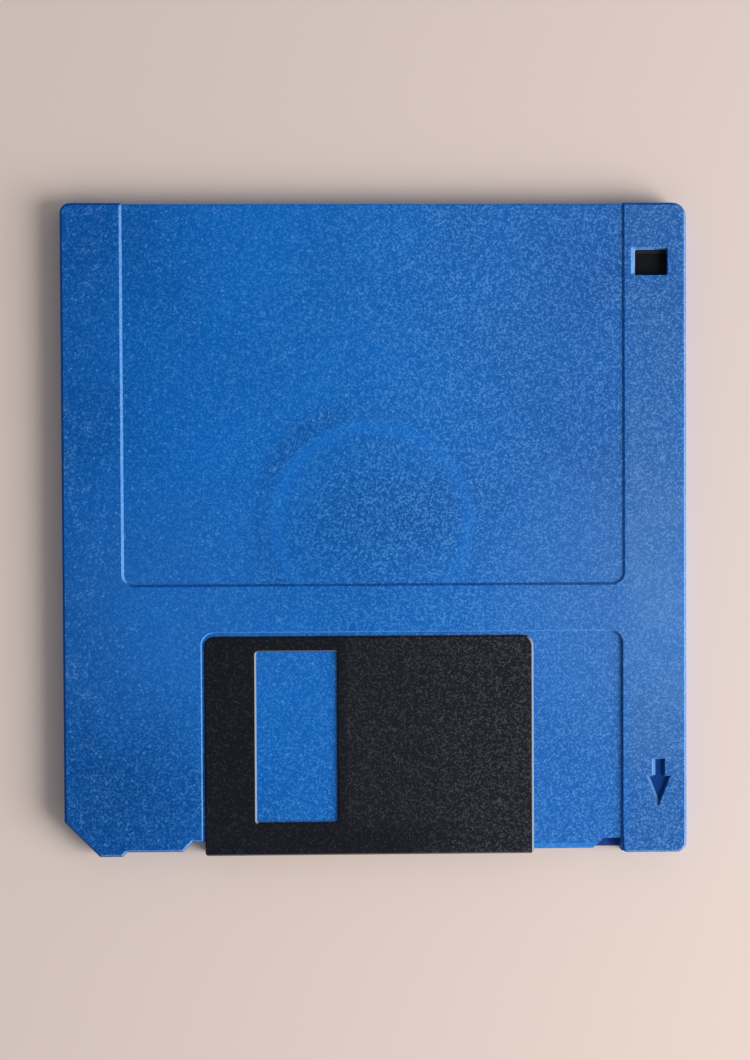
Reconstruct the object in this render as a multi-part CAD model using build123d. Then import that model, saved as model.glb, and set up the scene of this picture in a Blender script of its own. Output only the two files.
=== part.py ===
from build123d import *
from math import asin, atan2, cos, degrees, hypot, pi, sin, sqrt
import os

# A 90 mm floppy disk lying on its back. X runs along the shutter's travel, +Y points to the label
# end, +Z to the label side. The origin is the middle of the back face.

# Film, hub and liners
film_radius = 43.0
film_thickness = 0.08
film_clearance = 0.7
adhesive_thickness = 0.08
adhesive_width = 1.8
hub_cup_radius = 12.4
hub_cup_clearance = 0.25
hub_flange_width = 2.6
hub_sheet = 0.3
hub_bend = 0.4
hub_back_recess = 0.4
spindle_square = 4.0
spindle_corner = 0.6
drive_slot_length = 7.8
drive_slot_width = 3.9
drive_slot_from_cup_wall = 3.4
drive_slot_corner = 0.5
liner_thickness = 0.2
liner_gap = 0.05
liner_rim_gap = 0.4
upper_liner_from_flange = 1.0
lower_liner_from_access = 1.15
adhesive_rim_gap = 0.2

# Case: heights of the stack and widths of the walls
floor_thickness = 1.0
inner_height = 1.3
ceiling_thickness = 1.0
lower_shell_height = 1.65
side_wall = 1.3
label_end_margin = 2.3
label_end_wall = 1.7
shutter_end_margin = 4.3
shutter_end_wall = 1.3
ring_wall = 0.8
edge_bevel = 0.35
inner_corner_radius = 0.5
chamfer_corner_radius = 0.4
top_corner_radius = 1.4
right_top_corner_radius = 2.0
right_bottom_corner_radius = 1.5
corner_chamfer = 5.1

# Profile of the shutter end, from left to right
end_step_from_side = 8.3
end_step_drop = 0.65
end_step_slant = 0.7
lever_notch_lead = 2.95
lever_notch_depth = 2.05
lever_notch_run_on = 1.25
end_face_depth = 0.6
right_notch_width = 4.1
right_notch_upper_depth = 2.1
right_notch_lower_depth = 0.75
right_band_width = 9.45
right_band_radius = 0.95

# Label side recesses
label_band_left = 8.65
label_band_right = 9.1
label_recess_depth = 0.2
label_recess_from_hub = 8.9
label_recess_corner = 1.7
label_step_width = 0.38
label_wrap_length = 20.0
arrow_from_side = 4.1
arrow_tip_from_end = 6.6
arrow_length = 7.1
arrow_head_length = 4.6
arrow_head_width = 3.6
arrow_stem_width = 1.9
arrow_depth = 0.5
arrow_slope = 0.2

# Openings
hub_access_gap = 0.85
head_window_width = 9.0
head_window_from_hub = 19.2
head_window_overrun = 0.3
head_window_corner = 0.5

# Shutter and its recess
shutter_frame_side = 7.45
shutter_frame_top = 2.25
shutter_sheet = 0.35
shutter_web = 0.4
shutter_travel = 12.0
shutter_stop_gap = 0.75
shutter_side_gap = 0.25
shutter_play = 0.03
shutter_corner_radius = 1.5
shutter_edge_bevel = 0.3
shutter_fold_radius = 0.4
shutter_fold_inner_radius = 0.1
shutter_window_offset = 11.475
shutter_window_width = 11.65
shutter_window_margin = 0.65
shutter_window_end_margin = 0.1
shutter_window_corner = 0.4
shutter_window_bevel = 0.25
recess_corner_radius = 1.7
recess_top_gap = 0.45
recess_slope_width = 0.25
recess_lead_length = 0.9
recess_lead_drop = 0.35

# Guide feet of the shutter in the channel between the shells
guide_foot_width = 2.0
centre_foot_left = 8.0
spring_foot_from_edge = 7.75
foot_neck = 0.5
foot_head = 1.0
foot_head_depth = 0.5
foot_gap = 0.1
lip_depth = 0.5
tongue_width = 1.7
tongue_thickness = 0.35

# Shutter spring
spring_wire = 0.44
spring_sides = 6
spring_coil_radius = 1.3
spring_wall_gap = 1.6
spring_fixed_from_side = 2.7
spring_fixed_from_end = 3.2
spring_coil_pitch = 0.48
spring_hole_gap = 0.1
spring_floor_gap = 0.05
spring_tip = 0.75
spring_tip_bend = 0.35

# Write-protect tab
tab_hole_width = 4.65
tab_hole_length = 3.75
tab_hole_from_side = 5.0
tab_hole_from_end = 8.6
tab_hole_bevel = 0.65
tab_hole_corner = 0.25
tab_overlap = 0.45
tab_travel = 4.4
tab_gap = 0.1
tab_back_recess = 0.3
tab_rib_thickness = 0.7
tab_ridge = 0.55
tab_dish = 0.25
tab_grip_pitch = 0.9
tab_grip_groove = 0.4
tab_grip_depth = 0.25

# Locating holes and weld posts
locating_hole_radius = 1.8
locating_hole_depth = 1.3
locating_hole_from_side = 5.0
locating_hole_from_hub = 31.0
locating_slot_length = 4.4
locating_boss_wall = 0.9
locating_boss_cap = 0.3
label_post_from_side = 11.5
label_post_from_end = 6.0
left_post_from_side = 9.0
left_post_from_end = 8.0
right_post_from_side = 3.6
right_post_from_hub = 24.5
post_width = 2.2
post_gap = 0.1
post_end_gap = 0.15
socket_wall = 0.8

# Ribs around the hub, the wear disc and the liner lifter
stop_ring_from_cup = 1.05
stop_ring_width = 0.9
stop_ring_gap = 0.25
spindle_ring_radius = 4.9
spindle_ring_width = 0.8
spindle_ring_gap = 0.3
wear_disc_gap = 0.2
wear_disc_thickness = 0.2
lifter_angle = 195.0
lifter_from_liner = 2.6
lifter_from_ring = 4.7
lifter_tip = 2.0
lifter_width = 8.0
lifter_sheet = 0.12
lifter_pocket_depth = 0.4
lifter_pocket_gap = 0.3
lifter_glued_length = 7.0

# Heights
floor_top = floor_thickness
ceiling_bottom = floor_thickness + inner_height
case_top = ceiling_bottom + ceiling_thickness
lower_liner_top = floor_top + liner_thickness
film_bottom = lower_liner_top + liner_gap
film_top = film_bottom + film_thickness
hub_flange_bottom = film_top + adhesive_thickness
hub_flange_top = hub_flange_bottom + hub_sheet
hub_face_top = hub_back_recess + hub_sheet
spring_radius = spring_wire / 2
spring_low_z = floor_top + spring_radius + spring_floor_gap
spring_hole_width = spring_wire + 2 * spring_hole_gap

# Plan view
cavity_radius = film_radius + film_clearance
right_edge = cavity_radius + side_wall
left_edge = -right_edge
label_edge = cavity_radius + (label_end_margin + shutter_end_margin) / 2
shutter_edge = -label_edge
hub_y = label_edge - label_end_margin - cavity_radius
hub_access_radius = hub_cup_radius + hub_access_gap
upper_liner_bore = hub_cup_radius + hub_flange_width + upper_liner_from_flange
lower_liner_bore = hub_access_radius + lower_liner_from_access
stop_ring_radius = hub_cup_radius + stop_ring_from_cup
drive_slot_offset = hub_cup_radius - drive_slot_from_cup_wall
lifter_start = lower_liner_bore + lifter_from_liner
lifter_end = cavity_radius - lifter_from_ring
head_window_top = hub_y - head_window_from_hub
head_window_bottom = hub_y - film_radius - head_window_overrun
end_step_x = left_edge + end_step_from_side
end_face_y = shutter_edge + end_face_depth
lever_notch_y = shutter_edge + lever_notch_depth
right_notch_y = shutter_edge + right_notch_upper_depth
channel_inner_y = end_face_y + shutter_end_wall
label_recess_left = left_edge + label_band_left
label_recess_right = right_edge - label_band_right
label_recess_bottom = hub_y - label_recess_from_hub
arrow_x = right_edge - arrow_from_side

# The shutter follows from its window and from the stop at the right end of its travel
shutter_window_left = -shutter_window_offset - shutter_window_width / 2
shutter_window_top = head_window_top + shutter_window_margin
shutter_window_bottom = head_window_bottom + shutter_window_end_margin
shutter_left = shutter_window_left - shutter_frame_side
shutter_top = shutter_window_top + shutter_frame_top
recess_right = right_edge - right_band_width
recess_left = shutter_left - shutter_side_gap
recess_top = shutter_top + recess_top_gap
recess_depth = shutter_sheet + 2 * shutter_play
shutter_right = recess_right - shutter_stop_gap - shutter_travel
right_notch_x = recess_right - right_notch_width
lever_notch_x = recess_left - lever_notch_lead
lever_notch_right = shutter_left + shutter_travel + lever_notch_run_on
centre_foot_x = -centre_foot_left
spring_foot_x = shutter_right - spring_foot_from_edge
foot_slot_start = spring_foot_x - foot_gap
foot_slot_end = spring_foot_x + guide_foot_width + shutter_travel + shutter_stop_gap
spring_moving = (spring_foot_x + guide_foot_width / 2, channel_inner_y + tongue_width / 2)
spring_fixed = (right_edge - spring_fixed_from_side, shutter_edge + spring_fixed_from_end)

# Corners of the case
tab_x = right_edge - tab_hole_from_side
tab_y = label_edge - tab_hole_from_end
locating_x = right_edge - locating_hole_from_side
locating_y = hub_y - locating_hole_from_hub
weld_posts = [
    (left_edge + label_post_from_side, label_edge - label_post_from_end),
    (right_edge - label_post_from_side, label_edge - label_post_from_end),
    (left_edge + left_post_from_side, shutter_edge + left_post_from_end),
    (right_edge - right_post_from_side, hub_y - right_post_from_hub),
]


def slab(x_low, x_high, y_low, y_high, z_low, z_high):
    """Block between two opposite corners."""
    block = Box(x_high - x_low, y_high - y_low, z_high - z_low)
    return Pos((x_low + x_high) / 2, (y_low + y_high) / 2, (z_low + z_high) / 2) * block


def square_block(x, y, width, z_low, z_high):
    """Upright square block around a point."""
    half = width / 2
    return slab(x - half, x + half, y - half, y + half, z_low, z_high)


def disc(x, y, radius, z_low, z_high):
    """Upright round block."""
    block = Cylinder(radius, z_high - z_low)
    return Pos(x, y, (z_low + z_high) / 2) * block


def ring(inner_radius, outer_radius, z_low, z_high):
    """Upright ring around the hub's axis."""
    outer = disc(0, hub_y, outer_radius, z_low, z_high)
    return outer - disc(0, hub_y, inner_radius, z_low, z_high)


def prism(face, z_low, z_high):
    """Flat face raised between two heights."""
    return Pos(0, 0, z_low) * extrude(face, z_high - z_low)


def rounded_face(corners):
    """Face through corners given as x, y and radius."""
    face = make_face(Polyline(*[(x, y) for x, y, radius in corners], close=True))
    for x, y, radius in corners:
        if radius > 0:
            corner = face.vertices().sort_by_distance((x, y, 0))[0]
            face = fillet(corner, radius)
    return face


def rounded_block(x_low, x_high, y_low, y_high, z_low, z_high, radius):
    """Block with four rounded upright edges."""
    face = RectangleRounded(x_high - x_low, y_high - y_low, radius)
    return prism(Pos((x_low + x_high) / 2, (y_low + y_high) / 2) * face, z_low, z_high)


def case_face(right_notch):
    """Outline of a shell, with the notch at the right of the shutter as deep as given."""
    step_y = shutter_edge + end_step_drop
    left_ramp = lever_notch_depth - end_step_drop
    right_ramp = right_notch - end_face_depth
    band_radius = min(right_band_radius, right_notch - edge_bevel)
    corners = [
        (left_edge, label_edge, top_corner_radius),
        (right_edge, label_edge, right_top_corner_radius),
        (right_edge, shutter_edge, right_bottom_corner_radius),
        (recess_right, shutter_edge, band_radius),
        (recess_right, shutter_edge + right_notch, 0),
        (right_notch_x + right_ramp, shutter_edge + right_notch, 0),
        (right_notch_x, end_face_y, 0),
        (lever_notch_right, end_face_y, 0),
        (lever_notch_right, lever_notch_y, 0),
        (lever_notch_x + left_ramp, lever_notch_y, 0),
        (lever_notch_x, step_y, 0),
        (end_step_x + end_step_slant, step_y, 0),
        (end_step_x, shutter_edge, 0),
        (left_edge + corner_chamfer, shutter_edge, chamfer_corner_radius),
        (left_edge, shutter_edge + corner_chamfer, chamfer_corner_radius),
    ]
    return rounded_face(corners)


def cavity_face():
    """Inside of the walls that both shells share."""
    side = cavity_radius + ring_wall / 2
    end = hub_y - side
    step_y = shutter_edge + end_step_drop + shutter_end_wall
    step_x = lever_notch_x - shutter_end_wall
    notch_y = right_notch_y + shutter_end_wall
    corner_x = recess_right + shutter_end_wall
    corner_y = spring_fixed[1] - shutter_end_wall
    top = label_edge - label_end_wall
    chamfer_sum = left_edge + shutter_edge + corner_chamfer + shutter_end_wall * sqrt(2)
    corners = [
        (-side, top, inner_corner_radius),
        (side, top, inner_corner_radius),
        (side, corner_y, inner_corner_radius),
        (corner_x, corner_y, 0),
        (corner_x, notch_y, 0),
        (foot_slot_end, notch_y, 0),
        (foot_slot_end, channel_inner_y, 0),
        (foot_slot_start, channel_inner_y, 0),
        (foot_slot_start, end, 0),
        (step_x, end, 0),
        (step_x, step_y, 0),
        (chamfer_sum - step_y, step_y, 0),
        (-side, chamfer_sum + side, 0),
    ]
    return rounded_face(corners)


def film_wall(z_low, z_high):
    """Round wall that keeps the film clear of the corner pockets."""
    return ring(cavity_radius, cavity_radius + ring_wall, z_low, z_high)


def guide_slot(foot_x):
    """T-shaped channel for one guide foot over its whole travel."""
    left = foot_x - foot_gap
    right = foot_x + guide_foot_width + shutter_travel + shutter_stop_gap
    lip_y = end_face_y + lip_depth
    neck = foot_neck / 2 + foot_gap
    head = foot_head / 2 + foot_gap
    middle = lower_shell_height
    mouth = slab(left, right, shutter_edge, lip_y, middle - neck, middle + neck)
    channel = slab(left, right, lip_y, channel_inner_y, middle - head, middle + head)
    return mouth + channel


def shutter_recess_face(growth, z):
    """Outline of the shutter's recess, grown on all sides."""
    width = recess_right - recess_left + 2 * growth
    length = recess_top - shutter_edge + 2 * recess_corner_radius + 2 * growth
    middle = (recess_left + recess_right) / 2
    face = RectangleRounded(width, length, recess_corner_radius + growth)
    return Pos(middle, recess_top + growth - length / 2, z) * face


def shutter_recess(floor_z, mouth_z):
    """Shallow recess with sloped edges that lets a leaf of the shutter lie flush."""
    floor_face = shutter_recess_face(0, floor_z)
    mouth_face = shutter_recess_face(recess_slope_width, mouth_z)
    return loft([floor_face, mouth_face], ruled=True)


def recess_lead(floor_z, drop):
    """Slope at the end of the shutter's recess that the fold of the shutter slides over."""
    corners = [
        (shutter_edge, floor_z),
        (end_face_y + recess_lead_length, floor_z),
        (end_face_y, floor_z - drop),
        (shutter_edge, floor_z - drop),
    ]
    section = Plane.YZ * make_face(Polyline(*corners, close=True))
    return Pos(recess_left, 0, 0) * extrude(section, recess_right - recess_left)


def head_window(z_low, z_high):
    """Window for the read and write head."""
    half = head_window_width / 2
    corner = head_window_corner
    return rounded_block(-half, half, head_window_bottom, head_window_top, z_low, z_high, corner)


def label_recess_face(growth, z):
    """Outline of the label recess, grown on three sides."""
    left = label_recess_left - growth
    right = label_recess_right + growth
    bottom = label_recess_bottom - growth
    radius = label_recess_corner + growth
    beyond = label_edge + radius
    corners = [
        (left, beyond, 0),
        (right, beyond, 0),
        (right, bottom, radius),
        (left, bottom, radius),
    ]
    return Pos(0, 0, z) * rounded_face(corners)


def label_recess():
    """Recess for the label, with sloped edges."""
    half_step = label_step_width / 2
    floor_face = label_recess_face(-half_step, case_top - label_recess_depth)
    mouth_face = label_recess_face(half_step, case_top)
    above = prism(label_recess_face(half_step, 0), case_top, case_top + 1)
    return loft([floor_face, mouth_face], ruled=True) + above


def label_wrap(z_low, z_high, y_low):
    """Recess of the label where it wraps over the end or onto the back."""
    y_high = label_edge + 1
    return slab(label_recess_left, label_recess_right, y_low, y_high, z_low, z_high)


def arrow():
    """Insertion arrow that points to the shutter end, with sloped walls."""
    tip_y = shutter_edge + arrow_tip_from_end
    head_y = tip_y + arrow_head_length
    tail_y = tip_y + arrow_length
    half_head = arrow_head_width / 2
    half_stem = arrow_stem_width / 2
    corners = [
        (arrow_x, tip_y, 0),
        (arrow_x + half_head, head_y, 0),
        (arrow_x + half_stem, head_y, 0),
        (arrow_x + half_stem, tail_y, 0),
        (arrow_x - half_stem, tail_y, 0),
        (arrow_x - half_stem, head_y, 0),
        (arrow_x - half_head, head_y, 0),
    ]
    mouth_face = rounded_face(corners)
    floor_face = offset(mouth_face, -arrow_slope, kind=Kind.INTERSECTION)
    recess = loft([Pos(0, 0, case_top - arrow_depth) * floor_face, Pos(0, 0, case_top) * mouth_face])
    return recess + prism(mouth_face, case_top, case_top + 1)


def tab_ribs(z_low, z_high):
    """Two side ribs and a stop that guide the write-protect tab."""
    inner = tab_hole_width / 2 + tab_overlap + tab_gap
    outer = inner + tab_rib_thickness
    low = tab_y - tab_hole_length / 2 - tab_overlap - tab_gap
    high = label_edge - label_end_wall + 0.2
    frame = slab(tab_x - outer, tab_x + outer, low - tab_rib_thickness, high, z_low, z_high)
    return frame - slab(tab_x - inner, tab_x + inner, low, high + 1, z_low - 1, z_high + 1)


def upper_shell():
    """Label side of the case."""
    body = prism(case_face(right_notch_upper_depth), lower_shell_height, case_top)
    rim = body.faces().sort_by(Axis.Z)[-1].outer_wire().edges()
    body = chamfer(rim, edge_bevel)
    body -= prism(cavity_face(), lower_shell_height - 1, ceiling_bottom)
    body += film_wall(lower_shell_height, ceiling_bottom)
    body += tab_ribs(lower_shell_height, ceiling_bottom)
    stop_inner = stop_ring_radius - stop_ring_width / 2
    stop_low = hub_flange_top + stop_ring_gap
    body += ring(stop_inner, stop_inner + stop_ring_width, stop_low, ceiling_bottom)
    spindle_inner = spindle_ring_radius - spindle_ring_width / 2
    spindle_low = hub_face_top + spindle_ring_gap
    spindle_outer = spindle_inner + spindle_ring_width
    body += ring(spindle_inner, spindle_outer, spindle_low, ceiling_bottom)
    for x, y in weld_posts:
        body += square_block(x, y, post_width, floor_top + post_end_gap, ceiling_bottom)
    body -= shutter_recess(case_top - recess_depth, case_top)
    body -= recess_lead(case_top - recess_depth, recess_lead_drop)
    body -= head_window(lower_shell_height, case_top + 1)
    body -= guide_slot(centre_foot_x)
    body -= guide_slot(spring_foot_x)
    body -= label_recess()
    body -= label_wrap(0, case_top + 1, label_edge - label_recess_depth)
    body -= arrow()
    body -= tab_window()
    return body


def tab_window():
    """Square hole over the write-protect tab, with a bevel on its left and far edges."""
    half_width = tab_hole_width / 2
    half_length = tab_hole_length / 2
    left = tab_x - half_width
    right = tab_x + half_width
    low = tab_y - half_length
    high = tab_y + half_length
    corner = tab_hole_corner
    hole = rounded_block(left, right, low, high, lower_shell_height, case_top + 1, corner)
    floor_face = Pos(tab_x, tab_y, case_top - tab_hole_bevel)
    floor_face *= RectangleRounded(tab_hole_width, tab_hole_length, corner)
    mouth_face = Pos(tab_x - tab_hole_bevel / 2, tab_y + tab_hole_bevel / 4, case_top)
    mouth_width = tab_hole_width + tab_hole_bevel
    mouth_length = tab_hole_length + tab_hole_bevel / 2
    mouth_face *= RectangleRounded(mouth_width, mouth_length, corner)
    return hole + loft([floor_face, mouth_face], ruled=True)


def lifter_place():
    """Frame of the liner lifter: X runs outward along it, Z stays upright."""
    return Pos(0, hub_y, 0) * Rot(0, 0, lifter_angle)


def lifter_pocket():
    """Shallow pocket in the floor under the liner lifter."""
    gap = lifter_pocket_gap
    start = lifter_start - gap
    end = lifter_end + gap
    half = lifter_width / 2 + gap
    block = slab(start, end, -half, half, floor_top - lifter_pocket_depth, floor_top + 1)
    return lifter_place() * block


def lower_shell():
    """Hub side of the case."""
    body = prism(case_face(right_notch_lower_depth), 0, lower_shell_height)
    rim = body.faces().sort_by(Axis.Z)[0].outer_wire().edges()
    body = chamfer(rim, edge_bevel)
    body -= prism(cavity_face(), floor_top, lower_shell_height + 1)
    body += film_wall(floor_top, lower_shell_height)
    body += tab_ribs(floor_top, lower_shell_height)
    socket_width = post_width + 2 * post_gap
    boss_width = socket_width + 2 * socket_wall
    for x, y in weld_posts:
        boss = square_block(x, y, boss_width, floor_top, lower_shell_height)
        body += boss - square_block(x, y, socket_width, floor_top, lower_shell_height + 1)
    boss_top = locating_hole_depth + locating_boss_cap
    low = locating_y - locating_hole_radius - locating_boss_wall
    high = locating_y + locating_hole_radius + locating_boss_wall
    for x, length in ((locating_x, 2 * locating_hole_radius), (-locating_x, locating_slot_length)):
        half = length / 2 + locating_boss_wall
        body += slab(x - half, x + half, low, high, floor_top, boss_top)
    body -= disc(0, hub_y, hub_access_radius, -1, lower_shell_height)
    body -= locating_holes()
    body -= shutter_recess(recess_depth, 0)
    body -= recess_lead(recess_depth, -recess_lead_drop)
    body -= head_window(-1, lower_shell_height)
    body -= guide_slot(centre_foot_x)
    body -= guide_slot(spring_foot_x)
    body -= label_wrap(-1, case_top, label_edge - label_recess_depth)
    body -= label_wrap(-1, label_recess_depth, label_edge - label_wrap_length)
    body -= tab_slot()
    body -= lifter_pocket()
    hole_bottom = spring_low_z - spring_tip - spring_hole_gap
    return body - square_block(*spring_fixed, spring_hole_width, hole_bottom, lower_shell_height)


def locating_holes():
    """Round hole at the right and slotted hole at the left of the back."""
    primary = disc(locating_x, locating_y, locating_hole_radius, -1, locating_hole_depth)
    slot = SlotOverall(locating_slot_length, 2 * locating_hole_radius)
    secondary = prism(Pos(-locating_x, locating_y) * slot, -1, locating_hole_depth)
    return primary + secondary


def tab_slot():
    """Slot in the back that a fingernail reaches the write-protect tab through."""
    half_width = tab_hole_width / 2
    low = tab_y - tab_hole_length / 2
    high = tab_y + tab_hole_length / 2 + tab_travel + tab_gap
    return slab(tab_x - half_width, tab_x + half_width, low, high, -1, lower_shell_height)


def write_protect_tab():
    """Black slide with a flange between the shells and a ribbed grip in the back slot."""
    width = tab_hole_width + 2 * tab_overlap
    length = tab_hole_length + 2 * tab_overlap
    flange_low = floor_top + tab_gap / 2
    flange_high = ceiling_bottom - tab_gap / 2
    flange = Pos(tab_x, tab_y, (flange_low + flange_high) / 2)
    flange *= Box(width, length, flange_high - flange_low)
    grip_width = tab_hole_width - 2 * tab_gap
    grip_length = tab_hole_length - 2 * tab_gap
    grip = Pos(tab_x, tab_y, (tab_back_recess + flange_low) / 2)
    grip *= Box(grip_width, grip_length, flange_low - tab_back_recess)
    dish_low = tab_y - length
    dish_high = tab_y + tab_hole_length / 2 - tab_ridge
    dish_floor = flange_high - tab_dish
    dish = slab(tab_x - width, tab_x + width, dish_low, dish_high, dish_floor, flange_high + 1)
    tab = flange + grip - dish
    grooves = int((grip_length - tab_grip_groove) / tab_grip_pitch)
    for index in range(grooves):
        y = tab_y + (index - (grooves - 1) / 2) * tab_grip_pitch
        half = tab_grip_groove / 2
        z_high = tab_back_recess + tab_grip_depth
        tab -= slab(tab_x - width, tab_x + width, y - half, y + half, 0, z_high)
    return tab


def guide_foot(foot_x):
    """T-shaped foot that holds the shutter in the channel of the shells."""
    right = foot_x + guide_foot_width
    web_y = shutter_edge + shutter_web / 2
    head_y = end_face_y + lip_depth + foot_gap
    middle = lower_shell_height
    half_neck = foot_neck / 2
    half_head = foot_head / 2
    neck = slab(foot_x, right, web_y, head_y, middle - half_neck, middle + half_neck)
    head_end = head_y + foot_head_depth
    head = slab(foot_x, right, head_y, head_end, middle - half_head, middle + half_head)
    return neck + head


def spring_tongue():
    """Tongue on the right foot with a hole for the moving end of the spring."""
    x, y = spring_moving
    top = spring_high_z - spring_radius - spring_hole_gap / 2
    bottom = top - tongue_thickness
    head_y = end_face_y + lip_depth + foot_gap
    half = tongue_width / 2
    tongue = slab(x - half, x + half, head_y, y + half, bottom, top)
    return tongue - square_block(x, y, spring_hole_width, bottom - 1, top + 1)


def shutter_window_face(growth, z):
    """Outline of the shutter's window, grown on all sides."""
    width = shutter_window_width + 2 * growth
    length = shutter_window_top - shutter_window_bottom + 2 * growth
    x = shutter_window_left + shutter_window_width / 2
    y = (shutter_window_top + shutter_window_bottom) / 2
    return Pos(x, y, z) * RectangleRounded(width, length, shutter_window_corner + growth)


def shutter_window(z_low, z_high):
    """Window through both leaves, bevelled on both outer sides."""
    bevel = shutter_window_bevel
    window = prism(shutter_window_face(0, 0), z_low, z_high)
    for mouth_z, neck_z in ((z_low, z_low + bevel), (z_high, z_high - bevel)):
        mouth_face = shutter_window_face(bevel, mouth_z)
        window += loft([mouth_face, shutter_window_face(0, neck_z)], ruled=True)
    return window


def shutter():
    """U-shaped slide over both sides of the case."""
    z_high = case_top - shutter_play
    z_low = shutter_play
    web_y = shutter_edge + shutter_web
    corners = [
        (shutter_top, z_high - shutter_sheet, 0),
        (shutter_top, z_high, 0),
        (shutter_edge, z_high, shutter_fold_radius),
        (shutter_edge, z_low, shutter_fold_radius),
        (shutter_top, z_low, 0),
        (shutter_top, z_low + shutter_sheet, 0),
        (web_y, z_low + shutter_sheet, shutter_fold_inner_radius),
        (web_y, z_high - shutter_sheet, shutter_fold_inner_radius),
    ]
    section = Plane.YZ * rounded_face(corners)
    body = Pos(shutter_left, 0, 0) * extrude(section, shutter_right - shutter_left)
    upright = body.edges().filter_by(Axis.Z)
    leaf_corners = upright.filter_by(lambda edge: edge.center().Y > shutter_top - 0.01)
    body = fillet(leaf_corners, shutter_corner_radius)
    along = body.edges().filter_by(Axis.Y)
    outer = along.filter_by(lambda edge: edge.center().Z > z_high - 0.01)
    body = chamfer(outer, shutter_edge_bevel)
    body -= shutter_window(z_low, z_high)
    body += guide_foot(centre_foot_x)
    body += guide_foot(spring_foot_x)
    return body + spring_tongue()


def tangent_angle(start, centre, side):
    """Direction from a point along the tangent to the coil's centre line."""
    dx = centre[0] - start[0]
    dy = centre[1] - start[1]
    return atan2(dy, dx) + side * asin(spring_coil_radius / hypot(dx, dy))


def tangent_point(start, centre, angle):
    """Where the straight leg from a point meets the coil's centre line."""
    distance = hypot(centre[0] - start[0], centre[1] - start[1])
    leg = sqrt(distance**2 - spring_coil_radius**2)
    return (start[0] + leg * cos(angle), start[1] + leg * sin(angle))


coil_path_radius = cavity_radius + ring_wall + spring_wall_gap + spring_coil_radius + spring_radius
apex_x = (spring_moving[0] + spring_fixed[0]) / 2
spring_apex = (apex_x, hub_y - sqrt(coil_path_radius**2 - apex_x**2))
moving_angle = tangent_angle(spring_moving, spring_apex, 1)
fixed_angle = tangent_angle(spring_fixed, spring_apex, -1)
moving_tangent = tangent_point(spring_moving, spring_apex, moving_angle)
fixed_tangent = tangent_point(spring_fixed, spring_apex, fixed_angle)
coil_turns = 1 + (moving_angle - (fixed_angle - pi)) / (2 * pi)
spring_high_z = spring_low_z + coil_turns * spring_coil_pitch


def spring_leg(corner, tangent, z):
    """Line of one leg: up from its bent tip and along to the coil."""
    tip = (*corner, z - spring_tip)
    return FilletPolyline(tip, (*corner, z), (*tangent, z), radius=spring_tip_bend)


def shutter_spring():
    """V-shaped torsion spring with one coil at its apex, drawn as one length of wire."""
    dx = fixed_tangent[0] - spring_apex[0]
    dy = fixed_tangent[1] - spring_apex[1]
    coil_place = Pos(*spring_apex, spring_low_z) * Rot(0, 0, degrees(atan2(dy, dx)))
    coil = Helix(spring_coil_pitch, coil_turns * spring_coil_pitch, spring_coil_radius)
    fixed_leg = spring_leg(spring_fixed, fixed_tangent, spring_low_z)
    moving_leg = spring_leg(spring_moving, moving_tangent, spring_high_z)
    wire_line = Wire([*fixed_leg.edges(), *(coil_place * coil).edges(), *moving_leg.edges()])
    tip = (*spring_fixed, spring_low_z - spring_tip)
    section = Plane(origin=tip, z_dir=(0, 0, 1)) * RegularPolygon(spring_radius, spring_sides)
    return sweep(section, path=wire_line)


def magnetic_disk():
    """Coated film with its centre hole."""
    return ring(hub_cup_radius + hub_cup_clearance, film_radius, film_bottom, film_top)


def hub_adhesive_ring():
    """Ring that bonds the hub's flange to the film."""
    outer = hub_cup_radius + hub_flange_width - adhesive_rim_gap
    return ring(outer - adhesive_width, outer, film_top, hub_flange_bottom)


def hub():
    """Pressed steel cup with a flange, a square spindle hole and a drive slot."""
    flange_radius = hub_cup_radius + hub_flange_width
    inner_radius = hub_cup_radius - hub_sheet
    profile = [
        (0, hub_back_recess),
        (hub_cup_radius - hub_bend, hub_back_recess),
        (hub_cup_radius, hub_back_recess + hub_bend),
        (hub_cup_radius, hub_flange_bottom),
        (flange_radius, hub_flange_bottom),
        (flange_radius, hub_flange_top),
        (inner_radius, hub_flange_top),
        (inner_radius, hub_face_top),
        (0, hub_face_top),
    ]
    body = revolve(Plane.XZ * make_face(Polyline(*profile, close=True)), Axis.Z)
    spindle_hole = RectangleRounded(spindle_square, spindle_square, spindle_corner)
    slot_face = RectangleRounded(drive_slot_length, drive_slot_width, drive_slot_corner)
    drive_slot = Pos(0, -drive_slot_offset) * slot_face
    body -= prism(spindle_hole, 0, case_top)
    body -= prism(drive_slot, 0, case_top)
    return Pos(0, hub_y, 0) * body


def liner(bore_radius, z_low):
    """Non-woven ring with a notch for the head."""
    z_high = z_low + liner_thickness
    half = head_window_width / 2 + liner_rim_gap
    notch_top = head_window_top + liner_rim_gap
    notch = slab(-half, half, shutter_edge, notch_top, z_low - 1, z_high + 1)
    return ring(bore_radius, cavity_radius - liner_rim_gap, z_low, z_high) - notch


def liner_lifter():
    """Springy leaf that is glued at its outer end and lifts the liner at its inner end."""
    low = floor_top - lifter_pocket_depth
    high = floor_top - lifter_sheet
    glued = lifter_end - lifter_glued_length
    tip = lifter_start + lifter_tip
    corners = [
        (lifter_end, low, 0),
        (glued, low, 0),
        (tip, high, 0),
        (lifter_start, high - lifter_sheet, 0),
        (lifter_start, high, 0),
        (tip, floor_top, 0),
        (glued, low + lifter_sheet, 0),
        (lifter_end, low + lifter_sheet, 0),
    ]
    profile = Plane.XZ * rounded_face(corners)
    leaf = Pos(0, lifter_width / 2, 0) * extrude(profile, lifter_width)
    return lifter_place() * leaf


def hub_wear_disc():
    """Low-friction disc over the tip of the spindle."""
    radius = spindle_ring_radius - spindle_ring_width / 2 - wear_disc_gap
    return disc(0, hub_y, radius, ceiling_bottom - wear_disc_thickness, ceiling_bottom)


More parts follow.
